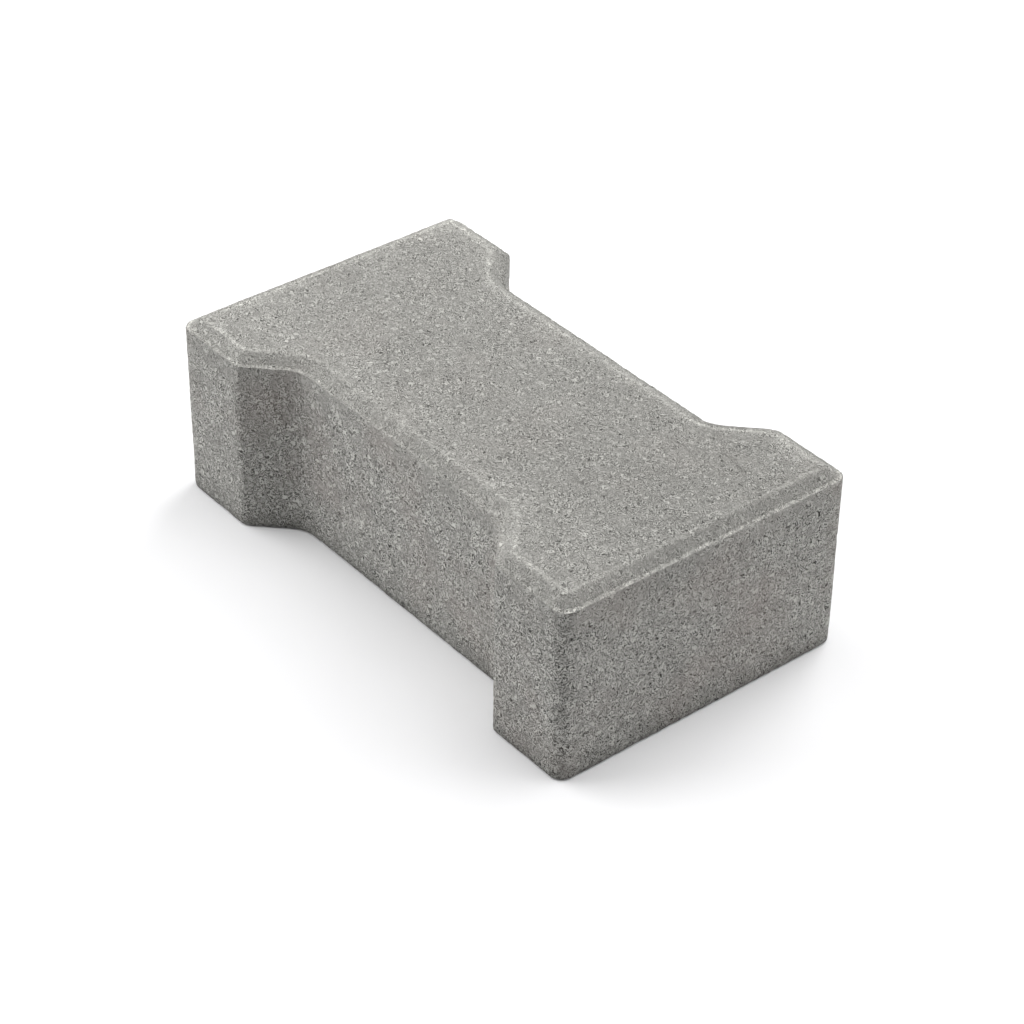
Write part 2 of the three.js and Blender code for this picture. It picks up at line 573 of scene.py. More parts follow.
def linear(hex_colour):
    """A linear colour for an sRGB hex value."""
    channels = [int(hex_colour[i : i + 2], 16) / 255 for i in (1, 3, 5)]
    return (
        *[c / 12.92 if c <= 0.04045 else ((c + 0.055) / 1.055) ** 2.4 for c in channels],
        1.0,
    )


def set_stops(ramp_node, stops, start, end):
    """Gives a ramp from start to end its stops: millimetres, with a colour or a grey at each."""
    elements = ramp_node.color_ramp.elements
    for i, (distance, colour) in enumerate(stops.items()):
        position = (distance * MM - start) / (end - start)
        stop = elements[i] if i < 2 else elements.new(position)
        stop.position = position
        stop.color = colour if isinstance(colour, tuple) else (colour, colour, colour, 1.0)


# Pressed concrete, struck from a steel mould while nearly dry: grey cement paste over washed
# sand. The eye gets a dead matt surface without sheen, a fine speckle of pale grains and dark
# voids, whose darkness is partly painted shade, faint warm clouds, and paler paste where mould
# and shoe squeezed the edges. Painted highlights and painted shade lie along the arrises, at
# the foot of the walls and over the top and the walls. Most of the sand is 0.1 to 0.3 mm, too
# fine to show, so it is drawn coarser, at 0.35 and 0.46 mm.
# In the names, the near end is the one at +X and the far side the one at +Y.
SAND_DARK = linear("#353431")
SAND_PALE = linear("#B2B1AC")
GRAIN_DARK = linear("#42413E")
GRAIN_PALE = linear("#BDBCB7")
SHADED_VOID = linear("#31302E")
WARM = linear("#928681")
PASTE = linear("#B3B2AD")

PRESSED_PITCH = 0.35 * MM
DRAWN_PITCH = 0.46 * MM
PRESSED_RANGE = (0.34, 0.59)
DRAWN_RANGE = (0.33, 0.525)
DRAWN_STRETCH = (1.0, 1.0, 0.8)
WALL_STARTS = (-0.4 * MM, 0.2 * MM)
CURL = 0.5
CURL_PITCH = 2.0 * MM
CURL_REACH = 3.5 * MM
GRAIN_PITCH = 0.75 * MM
GRAIN_SHARE = 0.55
GRAIN_BODY = (0.2, 0.6)
GRAIN_PICKS = (0.72, 0.95)
VOID_PITCH = 1.9 * MM
VOID_PICKS = (0.55, 1.0)
VOID_WIDTH = 0.32
# The mould smears the walls in patches, more so just under the rim and less at the near end.
SMEAR_PITCH = 3 * MM
SMEAR_SHARE = 0.55
SMEAR_RANGE = (0.42, 0.64)
UNDER_RIM_SHARE = 0.25
UNDER_RIM_REACH = (-10 * MM, -5 * MM)
SMEAR_LEVEL = 0.45
NEAR_END_SMEARS = -0.1
NEAR_END_WALLS = (62 * MM, 70 * MM)
# Clouds and warm stains lie over both.
CLOUD_PITCH = 8 * MM
CLOUD_DEPTH = 0.05
CLOUD_RANGE = (0.3, 0.7)
STAIN_PITCH = 30 * MM
STAIN_RANGE = (0.5, 0.75)
WARM_ON_FACE = 0.1
WARM_ON_WALL = 0.28
BUMP_DEPTH = 0.15 * MM
WALL_BUMP = 2.0
ROUGHNESS = 0.95
SPECULAR = 0.25

# By distance from the outer arris in millimetres: the share of smooth paste, how far the two
# pale lines stand out, one on the rim and one along the wearing face, and how far the pale band
# inside the second line does. The lines and the band are paler paste with painted highlights.
EDGE_SHARES = {
    -2.0: (0.0, 0.0, 0.0, 0.0),
    -0.3: (0.05, 0.0, 0.0, 0.0),
    0.0: (0.1, 0.0, 0.0, 0.0),
    0.4: (0.1, 1.0, 0.0, 0.0),
    1.3: (0.1, 1.0, 0.0, 0.0),
    1.7: (0.12, 0.0, 0.0, 0.0),
    2.5: (0.18, 0.0, 0.0, 0.0),
    5.0: (0.18, 0.0, 0.0, 0.0),
    6.5: (0.14, 0.0, 1.0, 1.0),
    7.0: (0.1, 0.0, 1.0, 1.0),
    8.2: (0.05, 0.0, 0.0, 1.0),
    9.8: (0.0, 0.0, 0.0, 0.9),
    11.8: (0.0, 0.0, 0.0, 0.0),
}
SHARES_FROM = -4 * MM
SHARES_TO = 12 * MM
# How strong the painted highlights on the lines are: the rim line's more at the ends and at one
# shoulder and none along the far side, the face line's more on the near ears and along the far side,
# and both broken into beads.
RIM_LIGHT = 0.1
END_LIGHT = 0.34
END_REACH = (90 * MM, 98 * MM)
SHOULDER_LIGHT = 0.13
SHOULDER = (-60 * MM, -52 * MM, 65 * MM)
SHOULDER_REACH = (40 * MM, 10 * MM)
FACE_LIGHT = 0.08
EAR_LIGHT = 0.18
NEAR_EAR_REACH = (-44 * MM, -52 * MM)
FAR_SIDE_REACH = (20 * MM, 35 * MM)
NEAR_END_REACH = (96 * MM, 88 * MM)
FAR_LINE_LIGHT = 0.12
FAR_LINE_SHIFT = 1.0 * MM
FAR_BAND_LIGHT = 0.075
BEAD_PITCH = 1.2 * MM
BEAD_RANGE = (0.35, 0.65)
BEAD_LIGHTS = (0.3, 1.7)

# The far end's painted highlight line and band: by millimetres from that end.
FAR_END_SHARES = {6.0: 0.0, 6.4: 1.0, 7.2: 1.0, 7.7: 0.22, 10.0: 0.22, 11.8: 0.0}
FAR_END_WIDTH = 12 * MM
FAR_END_LINE_LIGHT = 0.36
FAR_END_SIDE_REACH = (-52 * MM, -44 * MM)

# Painted light and shade: how much paler than the stone's own the tone is drawn, and from where
# to where that grows.
NEAR_SIDE_LIGHTS = (0.065, 0.075)
NEAR_SIDE_ALONG = (-20 * MM, 70 * MM)
NEAR_SIDE_REACH = (-18 * MM, -30 * MM)
FAR_EAR_LIGHT = 0.06
FAR_EAR_REACH = (36 * MM, 50 * MM)
END_TO_END_LIGHTS = (0.1, -0.035)
END_TO_END = (-100 * MM, 100 * MM)
HOLLOW_LIGHTS = (0.045, 0.1)
HOLLOW_ALONG = (-60 * MM, 60 * MM)
HOLLOW_REACH = (66 * MM, 50 * MM)
END_WALL_LIGHT = 0.055
END_WALL_REACH = (-15 * MM, 15 * MM)
CORNER_LIGHT = 0.075
CORNER = (54 * MM, -44 * MM, 60 * MM)
CORNER_REACH = (28 * MM, 6 * MM)

# The far side's haunches: by distance from the outer arris in millimetres, how far the arris in
# painted shade and the painted highlight line inside it stand out on one, and the bevel in
# painted shade on the other.
HAUNCH_SHARES = {
    4.6: (0.0, 0.0, 1.0, 1.0),
    5.4: (1.0, 0.0, 0.6, 1.0),
    7.6: (1.0, 0.0, 0.0, 1.0),
    8.1: (0.0, 1.0, 0.0, 1.0),
    8.9: (0.0, 1.0, 0.0, 1.0),
    9.5: (0.0, 0.0, 0.0, 1.0),
}
HAUNCH_MIDDLE = 60 * MM
HAUNCH_REACH = (12 * MM, 8 * MM)
HAUNCH_ARRIS_LIGHT = -0.26
HAUNCH_LINE_LIGHT = 0.3
HAUNCH_BEVEL_LIGHT = -0.12

# The far end's arris in painted shade, as a share of its line.
FAR_END_ARRIS_SHARE = -0.2
FAR_END_ARRIS_REACH = (-88 * MM, -92 * MM)

# Painted shade at the foot of the walls, darker towards the floor: by millimetres up.
FOOT_PAINTED_SHADE = {0.0: 0.6, 1.2: 0.585, 2.0: 0.67, 3.0: 0.78, 5.0: 0.85, 9.0: 0.955, 14.0: 1.0}
FOOT_TOP = 15 * MM

concrete = bpy.data.materials.new("pressed_concrete")
concrete.use_nodes = True
shader = concrete.node_tree
shader.nodes.clear()
place = add_node(shader, "ShaderNodeTexCoord").outputs["Object"]
arris_mark = add_node(shader, "ShaderNodeAttribute", attribute_name="from_arris").outputs["Fac"]
on_wall = add_node(
    shader,
    "ShaderNodeMapRange",
    {
        "Value": arris_mark,
        "From Min": WALL_STARTS[0],
        "From Max": WALL_STARTS[1],
        "To Min": 1.0,
        "To Max": 0.0,
    },
)

# The shoe presses the face's sand close. On the walls it is dragged by the mould as this is
# drawn off, so its marks are coarser and stand upright.
curls = add_node(
    shader, "ShaderNodeTexNoise", {"Vector": place, "Scale": 1 / CURL_PITCH, "Detail": 0.0}
)
curl_shift = add_node(
    shader, "ShaderNodeVectorMath", {0: curls.outputs["Color"], "Scale": CURL_REACH}, operation="SCALE"
)
curled = add_node(shader, "ShaderNodeVectorMath", {0: place, 1: curl_shift}, operation="ADD")
pressed_sand = add_node(
    shader,
    "ShaderNodeTexNoise",
    {"Vector": curled, "Scale": 1 / PRESSED_PITCH, "Detail": 0.0, "Distortion": CURL},
)
drawn = add_node(
    shader, "ShaderNodeVectorMath", {0: curled, 1: DRAWN_STRETCH}, operation="MULTIPLY"
)
drawn_sand = add_node(
    shader,
    "ShaderNodeTexNoise",
    {"Vector": drawn, "Scale": 1 / DRAWN_PITCH, "Detail": 0.0, "Distortion": CURL},
)
pressed_level = add_node(
    shader,
    "ShaderNodeMapRange",
    {"Value": pressed_sand.outputs["Fac"], "From Min": PRESSED_RANGE[0], "From Max": PRESSED_RANGE[1]},
)
drawn_level = add_node(
    shader,
    "ShaderNodeMapRange",
    {"Value": drawn_sand.outputs["Fac"], "From Min": DRAWN_RANGE[0], "From Max": DRAWN_RANGE[1]},
)
sand_level = add_node(shader, "ShaderNodeMix", {0: on_wall, 2: pressed_level, 3: drawn_level})
smears = add_node(
    shader, "ShaderNodeTexNoise", {"Vector": drawn, "Scale": 1 / SMEAR_PITCH, "Detail": 1.0}
)
smear_share = add_node(
    shader,
    "ShaderNodeMapRange",
    {
        "Value": smears.outputs["Fac"],
        "From Min": SMEAR_RANGE[0],
        "From Max": SMEAR_RANGE[1],
        "To Max": SMEAR_SHARE,
    },
)
under_rim = add_node(
    shader,
    "ShaderNodeMapRange",
    {
        "Value": arris_mark,
        "From Min": UNDER_RIM_REACH[0],
        "From Max": UNDER_RIM_REACH[1],
        "To Max": UNDER_RIM_SHARE,
    },
)
where = add_node(shader, "ShaderNodeSeparateXYZ", {0: place})
near_end_walls = add_node(
    shader,
    "ShaderNodeMapRange",
    {
        "Value": where.outputs["X"],
        "From Min": NEAR_END_WALLS[0],
        "From Max": NEAR_END_WALLS[1],
        "To Max": NEAR_END_SMEARS,
    },
)
wall_smears = add_node(
    shader, "ShaderNodeMath", {0: under_rim, 1: near_end_walls}, operation="ADD"
)
wall_smears = add_node(shader, "ShaderNodeMath", {0: wall_smears, 1: on_wall}, operation="MULTIPLY")
smear_share = add_node(shader, "ShaderNodeMath", {0: smear_share, 1: wall_smears}, operation="ADD")
sand_level = add_node(
    shader,
    "ShaderNodeMix",
    {0: smear_share, 2: sand_level, 3: SMEAR_LEVEL},
    clamp_factor=False,
)
tone = add_node(
    shader, "ShaderNodeMix", {0: sand_level, 6: SAND_DARK, 7: SAND_PALE}, data_type="RGBA"
).outputs[2]

grains = add_node(
    shader, "ShaderNodeTexVoronoi", {"Vector": drawn, "Scale": 1 / GRAIN_PITCH}
)
grain_pick = add_node(shader, "ShaderNodeSeparateColor", {0: grains.outputs["Color"]})
grain_body = add_node(
    shader,
    "ShaderNodeMapRange",
    {
        "Value": grains.outputs["Distance"],
        "From Min": GRAIN_BODY[0],
        "From Max": GRAIN_BODY[1],
        "To Min": GRAIN_SHARE,
        "To Max": 0.0,
    },
)
for channel, grain_tone in (("Red", GRAIN_PALE), ("Green", GRAIN_DARK)):
    pick = add_node(
        shader,
        "ShaderNodeMapRange",
        {
            "Value": grain_pick.outputs[channel],
            "From Min": GRAIN_PICKS[0],
            "From Max": GRAIN_PICKS[1],
        },
    )
    share = add_node(shader, "ShaderNodeMath", {0: pick, 1: grain_body}, operation="MULTIPLY")
    tone = add_node(
        shader, "ShaderNodeMix", {0: share, 6: tone, 7: grain_tone}, data_type="RGBA"
    ).outputs[2]

# The voids: pits in the paste, drawn darker than it, which paints the shade that falls in them.
voids = add_node(
    shader, "ShaderNodeTexVoronoi", {"Vector": place, "Scale": 1 / VOID_PITCH}
)
void_pick = add_node(shader, "ShaderNodeSeparateColor", {0: voids.outputs["Color"]})
void_width = add_node(
    shader,
    "ShaderNodeMapRange",
    {
        "Value": void_pick.outputs["Red"],
        "From Min": VOID_PICKS[0],
        "From Max": VOID_PICKS[1],
        "To Max": VOID_WIDTH,
    },
)
void_depth = add_node(
    shader,
    "ShaderNodeMapRange",
    {
        "Value": voids.outputs["Distance"],
        "From Min": 0.0,
        "From Max": void_width,
        "To Min": 1.0,
        "To Max": 0.0,
    },
)
tone = add_node(
    shader, "ShaderNodeMix", {0: void_depth, 6: tone, 7: SHADED_VOID}, data_type="RGBA"
).outputs[2]

clouds = add_node(
    shader, "ShaderNodeTexNoise", {"Vector": place, "Scale": 1 / CLOUD_PITCH, "Detail": 1.0}
)
cloud_level = add_node(
    shader,
    "ShaderNodeMapRange",
    {
        "Value": clouds.outputs["Fac"],
        "From Min": CLOUD_RANGE[0],
        "From Max": CLOUD_RANGE[1],
        "To Min": 1 - CLOUD_DEPTH,
        "To Max": 1 + CLOUD_DEPTH,
    },
)
tone = add_node(shader, "ShaderNodeVectorMath", {0: tone, "Scale": cloud_level}, operation="SCALE")
stains = add_node(
    shader, "ShaderNodeTexNoise", {"Vector": place, "Scale": 1 / STAIN_PITCH, "Detail": 3.0}
)
warm_most = add_node(
    shader, "ShaderNodeMapRange", {"Value": on_wall, "To Min": WARM_ON_FACE, "To Max": WARM_ON_WALL}
)
warm_share = add_node(
    shader,
    "ShaderNodeMapRange",
    {
        "Value": stains.outputs["Fac"],
        "From Min": STAIN_RANGE[0],
        "From Max": STAIN_RANGE[1],
        "To Max": warm_most,
    },
)
tone = add_node(
    shader, "ShaderNodeMix", {0: warm_share, 6: tone, 7: WARM}, data_type="RGBA"
).outputs[2]

# The rim and face lines and the band: paler paste with painted highlights that go by end, side,
# ear and shoulder. Along the far side the second line lies a little further in.
from_middle = add_node(shader, "ShaderNodeMath", {0: where.outputs["X"]}, operation="ABSOLUTE")
on_far_side = add_node(
    shader,
    "ShaderNodeMapRange",
    {"Value": where.outputs["Y"], "From Min": FAR_SIDE_REACH[0], "From Max": FAR_SIDE_REACH[1]},
)
off_near_end = add_node(
    shader,
    "ShaderNodeMapRange",
    {"Value": where.outputs["X"], "From Min": NEAR_END_REACH[0], "From Max": NEAR_END_REACH[1]},
)
far_edges = add_node(
    shader, "ShaderNodeMath", {0: on_far_side, 1: off_near_end}, operation="MULTIPLY"
)
line_mark = add_node(
    shader,
    "ShaderNodeMath",
    {0: far_edges, 1: -FAR_LINE_SHIFT, 2: arris_mark},
    operation="MULTIPLY_ADD",
)
edge_place = add_node(
    shader,
    "ShaderNodeMapRange",
    {"Value": line_mark, "From Min": SHARES_FROM, "From Max": SHARES_TO},
)
edge_ramp = add_node(shader, "ShaderNodeValToRGB", {"Fac": edge_place})
set_stops(edge_ramp, EDGE_SHARES, SHARES_FROM, SHARES_TO)
edge_shares = add_node(shader, "ShaderNodeSeparateColor", {0: edge_ramp.outputs["Color"]})
tone = add_node(
    shader,
    "ShaderNodeMix",
    {0: edge_shares.outputs["Red"], 6: tone, 7: PASTE},
    data_type="RGBA",
).outputs[2]

at_ends = add_node(
    shader,
    "ShaderNodeMapRange",
    {
        "Value": from_middle,
        "From Min": END_REACH[0],
        "From Max": END_REACH[1],
        "To Max": END_LIGHT,
    },
)
from_shoulder = add_node(
    shader, "ShaderNodeVectorMath", {0: place, 1: SHOULDER}, operation="DISTANCE"
).outputs["Value"]
at_shoulder = add_node(
    shader,
    "ShaderNodeMapRange",
    {
        "Value": from_shoulder,
        "From Min": SHOULDER_REACH[0],
        "From Max": SHOULDER_REACH[1],
        "To Max": SHOULDER_LIGHT,
    },
)
rim_light = add_node(shader, "ShaderNodeMath", {0: at_ends, 1: at_shoulder}, operation="ADD")
rim_light = add_node(shader, "ShaderNodeMath", {0: rim_light, 1: RIM_LIGHT}, operation="ADD")
off_far_edges = add_node(shader, "ShaderNodeMath", {0: 1.0, 1: far_edges}, operation="SUBTRACT")
rim_light = add_node(
    shader, "ShaderNodeMath", {0: rim_light, 1: off_far_edges}, operation="MULTIPLY"
)
on_near_ears = add_node(
    shader,
    "ShaderNodeMapRange",
    {
        "Value": where.outputs["Y"],
        "From Min": NEAR_EAR_REACH[0],
        "From Max": NEAR_EAR_REACH[1],
        "To Max": EAR_LIGHT,
    },
)
on_far_line = add_node(
    shader, "ShaderNodeMath", {0: far_edges, 1: FAR_LINE_LIGHT}, operation="MULTIPLY"
)
face_light = add_node(
    shader, "ShaderNodeMath", {0: on_near_ears, 1: on_far_line}, operation="MAXIMUM"
)
face_light = add_node(shader, "ShaderNodeMath", {0: face_light, 1: FACE_LIGHT}, operation="ADD")
rim_part = add_node(
    shader, "ShaderNodeMath", {0: edge_shares.outputs["Green"], 1: rim_light}, operation="MULTIPLY"
)
line_light = add_node(
    shader,
    "ShaderNodeMath",
    {0: edge_shares.outputs["Blue"], 1: face_light, 2: rim_part},
    operation="MULTIPLY_ADD",
)
beads = add_node(
    shader, "ShaderNodeTexNoise", {"Vector": place, "Scale": 1 / BEAD_PITCH, "Detail": 1.0}
)
bead_light = add_node(
    shader,
    "ShaderNodeMapRange",
    {
        "Value": beads.outputs["Fac"],
        "From Min": BEAD_RANGE[0],
        "From Max": BEAD_RANGE[1],
        "To Min": BEAD_LIGHTS[0],
        "To Max": BEAD_LIGHTS[1],
    },
)
painted_light_and_shade = add_node(
    shader,
    "ShaderNodeMath",
    {0: line_light, 1: bead_light, 2: 1.0},
    operation="MULTIPLY_ADD",
)
far_band = add_node(
    shader, "ShaderNodeMath", {0: edge_ramp.outputs["Alpha"], 1: far_edges}, operation="MULTIPLY"
)
painted_light_and_shade = add_node(
    shader,
    "ShaderNodeMath",
    {0: far_band, 1: FAR_BAND_LIGHT, 2: painted_light_and_shade},
    operation="MULTIPLY_ADD",
)
# The far end's painted highlight line and band, on the top only.
from_far_end = add_node(
    shader,
    "ShaderNodeMapRange",
    {
        "Value": where.outputs["X"],
        "From Min": -0.5 * body_size.x,
        "From Max": FAR_END_WIDTH - 0.5 * body_size.x,
    },
)
far_end_ramp = add_node(shader, "ShaderNodeValToRGB", {"Fac": from_far_end})
set_stops(far_end_ramp, FAR_END_SHARES, 0.0, FAR_END_WIDTH)
far_end_light = add_node(
    shader,
    "ShaderNodeMapRange",
    {
        "Value": where.outputs["Y"],
        "From Min": FAR_END_SIDE_REACH[0],
        "From Max": FAR_END_SIDE_REACH[1],
        "To Max": FAR_END_LINE_LIGHT,
    },
)
off_wall = add_node(shader, "ShaderNodeMath", {0: 1.0, 1: on_wall}, operation="SUBTRACT")
far_end_light = add_node(
    shader, "ShaderNodeMath", {0: far_end_light, 1: off_wall}, operation="MULTIPLY"
)
painted_light_and_shade = add_node(
    shader,
    "ShaderNodeMath",
    {0: far_end_ramp.outputs["Color"], 1: far_end_light, 2: painted_light_and_shade},
    operation="MULTIPLY_ADD",
)

# Painted shade on the far side's haunches and along the far end: the arris or the bevel is drawn
# darker, and one haunch gets a painted highlight line.
haunch_place = add_node(
    shader,
    "ShaderNodeMapRange",
    {"Value": arris_mark, "From Min": SHARES_FROM, "From Max": SHARES_TO},
)
haunch_ramp = add_node(shader, "ShaderNodeValToRGB", {"Fac": haunch_place})
set_stops(haunch_ramp, HAUNCH_SHARES, SHARES_FROM, SHARES_TO)
haunch_shares = add_node(shader, "ShaderNodeSeparateColor", {0: haunch_ramp.outputs["Color"]})
off_haunch = add_node(
    shader, "ShaderNodeMath", {0: from_middle, 1: HAUNCH_MIDDLE}, operation="SUBTRACT"
)
off_haunch = add_node(shader, "ShaderNodeMath", {0: off_haunch}, operation="ABSOLUTE")
on_haunch = add_node(
    shader,
    "ShaderNodeMapRange",
    {"Value": off_haunch, "From Min": HAUNCH_REACH[0], "From Max": HAUNCH_REACH[1]},
)
on_haunch = add_node(shader, "ShaderNodeMath", {0: on_haunch, 1: on_far_side}, operation="MULTIPLY")
at_near_end = add_node(
    shader, "ShaderNodeMath", {0: where.outputs["X"], 1: 0.0}, operation="GREATER_THAN"
)
at_far_end = add_node(shader, "ShaderNodeMath", {0: 1.0, 1: at_near_end}, operation="SUBTRACT")
for channel, at_end, most in (
    ("Red", at_near_end, HAUNCH_ARRIS_LIGHT),
    ("Green", at_near_end, HAUNCH_LINE_LIGHT),
    ("Blue", at_far_end, HAUNCH_BEVEL_LIGHT),
):
    share = add_node(
        shader, "ShaderNodeMath", {0: haunch_shares.outputs[channel], 1: at_end}, operation="MULTIPLY"
    )
    share = add_node(shader, "ShaderNodeMath", {0: share, 1: on_haunch}, operation="MULTIPLY")
    painted_light_and_shade = add_node(
        shader, "ShaderNodeMath", {0: share, 1: most, 2: painted_light_and_shade}, operation="MULTIPLY_ADD"
    )
far_end_arris = add_node(
    shader,
    "ShaderNodeMapRange",
    {
        "Value": where.outputs["X"],
        "From Min": FAR_END_ARRIS_REACH[0],
        "From Max": FAR_END_ARRIS_REACH[1],
        "To Max": FAR_END_ARRIS_SHARE,
    },
)
far_end_arris = add_node(
    shader, "ShaderNodeMath", {0: far_end_arris, 1: far_end_light}, operation="MULTIPLY"
)
painted_light_and_shade = add_node(
    shader,
    "ShaderNodeMath",
    {0: haunch_shares.outputs["Red"], 1: far_end_arris, 2: painted_light_and_shade},
    operation="MULTIPLY_ADD",
)
tone = add_node(shader, "ShaderNodeVectorMath", {0: tone, "Scale": painted_light_and_shade}, operation="SCALE")

# Painted light and shade over the stone: the pressed top is drawn paler along one side, on the
# other side's ears and towards one end, and darker at the other end. The walls are drawn paler
# in the hollows, on one half of the ends, and round one corner of the waist.
near_side_most = add_node(
    shader,
    "ShaderNodeMapRange",
    {
        "Value": where.outputs["X"],
        "From Min": NEAR_SIDE_ALONG[0],
        "From Max": NEAR_SIDE_ALONG[1],
        "To Min": NEAR_SIDE_LIGHTS[0],
        "To Max": NEAR_SIDE_LIGHTS[1],
    },
)
near_side = add_node(
    shader,
    "ShaderNodeMapRange",
    {
        "Value": where.outputs["Y"],
        "From Min": NEAR_SIDE_REACH[0],
        "From Max": NEAR_SIDE_REACH[1],
        "To Max": near_side_most,
    },
)
end_to_end = add_node(
    shader,
    "ShaderNodeMapRange",
    {
        "Value": where.outputs["X"],
        "From Min": END_TO_END[0],
        "From Max": END_TO_END[1],
        "To Min": END_TO_END_LIGHTS[0],
        "To Max": END_TO_END_LIGHTS[1],
    },
)
far_ears = add_node(
    shader,
    "ShaderNodeMapRange",
    {
        "Value": where.outputs["Y"],
        "From Min": FAR_EAR_REACH[0],
        "From Max": FAR_EAR_REACH[1],
        "To Min": 1.0,
        "To Max": 1 + FAR_EAR_LIGHT,
    },
)
top_light = add_node(shader, "ShaderNodeMath", {0: near_side, 1: end_to_end}, operation="ADD")
top_light = add_node(shader, "ShaderNodeMath", {0: top_light, 1: far_ears}, operation="ADD")
hollow_most = add_node(
    shader,
    "ShaderNodeMapRange",
    {
        "Value": where.outputs["X"],
        "From Min": HOLLOW_ALONG[0],
        "From Max": HOLLOW_ALONG[1],
        "To Min": 1 + HOLLOW_LIGHTS[0],
        "To Max": 1 + HOLLOW_LIGHTS[1],
    },
)
hollow_light = add_node(
    shader,
    "ShaderNodeMapRange",
    {
        "Value": from_middle,
        "From Min": HOLLOW_REACH[0],
        "From Max": HOLLOW_REACH[1],
        "To Min": 1.0,
        "To Max": hollow_most,
    },
)
end_wall = add_node(
    shader,
    "ShaderNodeMapRange",
    {
        "Value": where.outputs["Y"],
        "From Min": END_WALL_REACH[0],
        "From Max": END_WALL_REACH[1],
        "To Max": END_WALL_LIGHT,
    },
)
wall_light = add_node(shader, "ShaderNodeMath", {0: hollow_light, 1: end_wall}, operation="ADD")
painted_light_over_stone = add_node(shader, "ShaderNodeMix", {0: on_wall, 2: top_light, 3: wall_light})
from_corner = add_node(
    shader, "ShaderNodeVectorMath", {0: place, 1: CORNER}, operation="DISTANCE"
).outputs["Value"]
corner_light = add_node(
    shader,
    "ShaderNodeMapRange",
    {
        "Value": from_corner,
        "From Min": CORNER_REACH[0],
        "From Max": CORNER_REACH[1],
        "To Max": CORNER_LIGHT,
    },
)
painted_light_over_stone = add_node(
    shader, "ShaderNodeMath", {0: painted_light_over_stone, 1: corner_light}, operation="ADD"
)
tone = add_node(shader, "ShaderNodeVectorMath", {0: tone, "Scale": painted_light_over_stone}, operation="SCALE")

# Painted shade at the foot of the walls.
up_the_wall = add_node(
    shader, "ShaderNodeMapRange", {"Value": where.outputs["Z"], "From Max": FOOT_TOP}
)
foot_shade_ramp = add_node(shader, "ShaderNodeValToRGB", {"Fac": up_the_wall})
set_stops(foot_shade_ramp, FOOT_PAINTED_SHADE, 0.0, FOOT_TOP)
tone = add_node(
    shader,
    "ShaderNodeVectorMath",
    {0: tone, 1: foot_shade_ramp.outputs["Color"]},
    operation="MULTIPLY",
)

relief = add_node(shader, "ShaderNodeMath", {0: sand_level, 1: void_depth}, operation="SUBTRACT")
wall_relief = add_node(
    shader, "ShaderNodeMapRange", {"Value": on_wall, "To Min": 1.0, "To Max": WALL_BUMP}
)
relief = add_node(shader, "ShaderNodeMath", {0: relief, 1: wall_relief}, operation="MULTIPLY")
bump = add_node(
    shader, "ShaderNodeBump", {"Height": relief, "Distance": BUMP_DEPTH, "Strength": 1.0}
)
body_shader = add_node(
    shader,
    "ShaderNodeBsdfPrincipled",
    {"Base Color": tone, "Roughness": ROUGHNESS, "Specular IOR Level": SPECULAR, "Normal": bump},
)
add_node(shader, "ShaderNodeOutputMaterial", {"Surface": body_shader})

carrier = bpy.data.objects.new("stone_form", bpy.data.meshes.new("stone_form"))
bpy.context.scene.collection.objects.link(carrier)
pressing = carrier.modifiers.new("pressed stone", "NODES")
pressing.node_group = stone
values = {
    **PLAN_SIZES,
    **SECTION_SIZES,
    **MESH_COUNTS,
    **SURFACE_SIZES,
    "Seed": SEED,
    "Concrete": concrete,
}
for item in stone.interface.items_tree:
    if item.in_out == "INPUT":
        pressing[item.identifier] = values[item.name]
depsgraph = bpy.context.evaluated_depsgraph_get()
pressed = carrier.evaluated_get(depsgraph)
cast_stone = bpy.data.objects.new("cast_stone", bpy.data.meshes.new_from_object(pressed))
bpy.context.scene.collection.objects.link(cast_stone)
bpy.data.objects.remove(carrier)
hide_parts("paving_stone")
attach(cast_stone, "root")

# ---------------------------------------------------------------------------------------------
# The floor: a round sheet of matt white board, which runs into the white surroundings. It isn't
# part of the stone.
# ---------------------------------------------------------------------------------------------

FLOOR_RADIUS = 0.65
FLOOR_CORNERS = 96

board = bpy.data.materials.new("matt_white_board")
board.use_nodes = True
board_shader = board.node_tree.nodes["Principled BSDF"]
board_shader.inputs["Base Color"].default_value = linear("#F3F3F4")
board_shader.inputs["Roughness"].default_value = 1.0
board_shader.inputs["Specular IOR Level"].default_value = 0.0
floor_mesh = bpy.data.meshes.new("floor")
turns = [math.tau * i / FLOOR_CORNERS for i in range(FLOOR_CORNERS)]
floor_mesh.from_pydata(
    [(math.cos(turn) * FLOOR_RADIUS, math.sin(turn) * FLOOR_RADIUS, 0.0) for turn in turns],
    [],
    [tuple(range(FLOOR_CORNERS))],
)
floor_mesh.materials.append(board)
floor = bpy.data.objects.new("floor", floor_mesh)
bpy.context.scene.collection.objects.link(floor)

# ---------------------------------------------------------------------------------------------
# The light: round soft lamps above, on both sides of the camera and behind the stone. The white
# surroundings are seen, but hardly light the stone.
# ---------------------------------------------------------------------------------------------

LAMP_DISTANCE = 1.5
LAMPS = {
    # degrees round from +X, degrees up, width in metres, watts
    "overhead": (0.0, 90.0, 1.2, 7.2),
    "front": (28.7, 30.0, 1.4, 6.15),
    "back_high": (80.7, 45.0, 2.0, 16.1),
    "back_low": (110.7, 25.0, 0.9, 8.1),
    "far_left": (200.7, 25.0, 0.9, 11.7),
    "left": (230.7, 25.0, 0.9, 10.7),
}

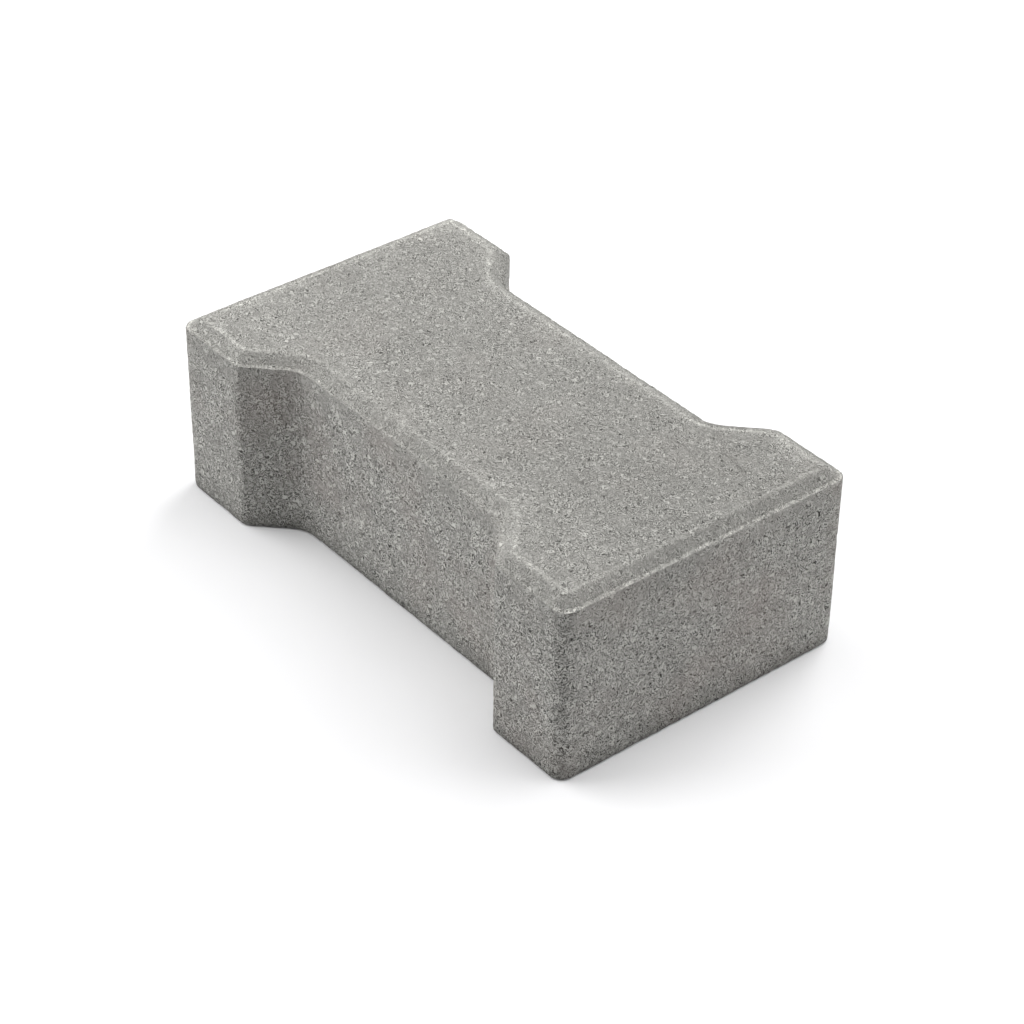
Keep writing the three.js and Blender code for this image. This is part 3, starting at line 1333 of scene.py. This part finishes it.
for name, (round_from_x, up, width, watts) in LAMPS.items():
    light = bpy.data.lights.new(name, "AREA")
    light.shape = "DISK"
    light.size = width
    light.energy = watts
    lamp = bpy.data.objects.new(name, light)
    turn = math.radians(round_from_x)
    rise = math.radians(up)
    away = Vector(
        (math.cos(turn) * math.cos(rise), math.sin(turn) * math.cos(rise), math.sin(rise))
    )
    lamp.location = away * LAMP_DISTANCE
    lamp.rotation_euler = away.to_track_quat("Z", "Y").to_euler()
    bpy.context.scene.collection.objects.link(lamp)

SURROUNDINGS_SEEN = 1.0
SURROUNDINGS_LIGHT = 0.2

world = bpy.data.worlds.new("white_surroundings")
world.use_nodes = True
backdrop = world.node_tree
ray = add_node(backdrop, "ShaderNodeLightPath")
brightness = add_node(
    backdrop,
    "ShaderNodeMapRange",
    {
        "Value": ray.outputs["Is Camera Ray"],
        "To Min": SURROUNDINGS_LIGHT,
        "To Max": SURROUNDINGS_SEEN,
    },
)
feed(backdrop, backdrop.nodes["Background"].inputs["Color"], (1.0, 1.0, 1.0, 1.0))
feed(backdrop, backdrop.nodes["Background"].inputs["Strength"], brightness)
bpy.context.scene.world = world
bpy.context.scene.view_settings.view_transform = "Standard"

# ---------------------------------------------------------------------------------------------
# The camera: a long lens that looks down on the stone over the near corner of one end, from not
# quite a metre away, so that the far end is drawn a little smaller. It isn't part of the stone.
# ---------------------------------------------------------------------------------------------

AZIMUTH = math.radians(50.724)
ELEVATION = math.radians(36.158)
ROLL = math.radians(0.791)
AIM = Vector((7.67, -1.84, 24.29)) * MM
CAMERA_DISTANCE = 947.0 * MM
SENSOR_WIDTH = 36.0
LENS = 101.92

across = Vector((math.cos(AZIMUTH), math.sin(AZIMUTH), 0.0))
back = Vector(
    (
        math.sin(AZIMUTH) * math.cos(ELEVATION),
        -math.cos(AZIMUTH) * math.cos(ELEVATION),
        math.sin(ELEVATION),
    )
)
upward = back.cross(across)
rolled_across = across * math.cos(ROLL) + upward * math.sin(ROLL)
rolled_upward = upward * math.cos(ROLL) - across * math.sin(ROLL)
camera_data = bpy.data.cameras.new("camera")
camera_data.sensor_width = SENSOR_WIDTH
camera_data.lens = LENS
camera = bpy.data.objects.new("camera", camera_data)
camera.matrix_world = Matrix.Translation(AIM + back * CAMERA_DISTANCE) @ Matrix(
    (rolled_across, rolled_upward, back)
).transposed().to_4x4()
bpy.context.scene.collection.objects.link(camera)
bpy.context.scene.camera = camera
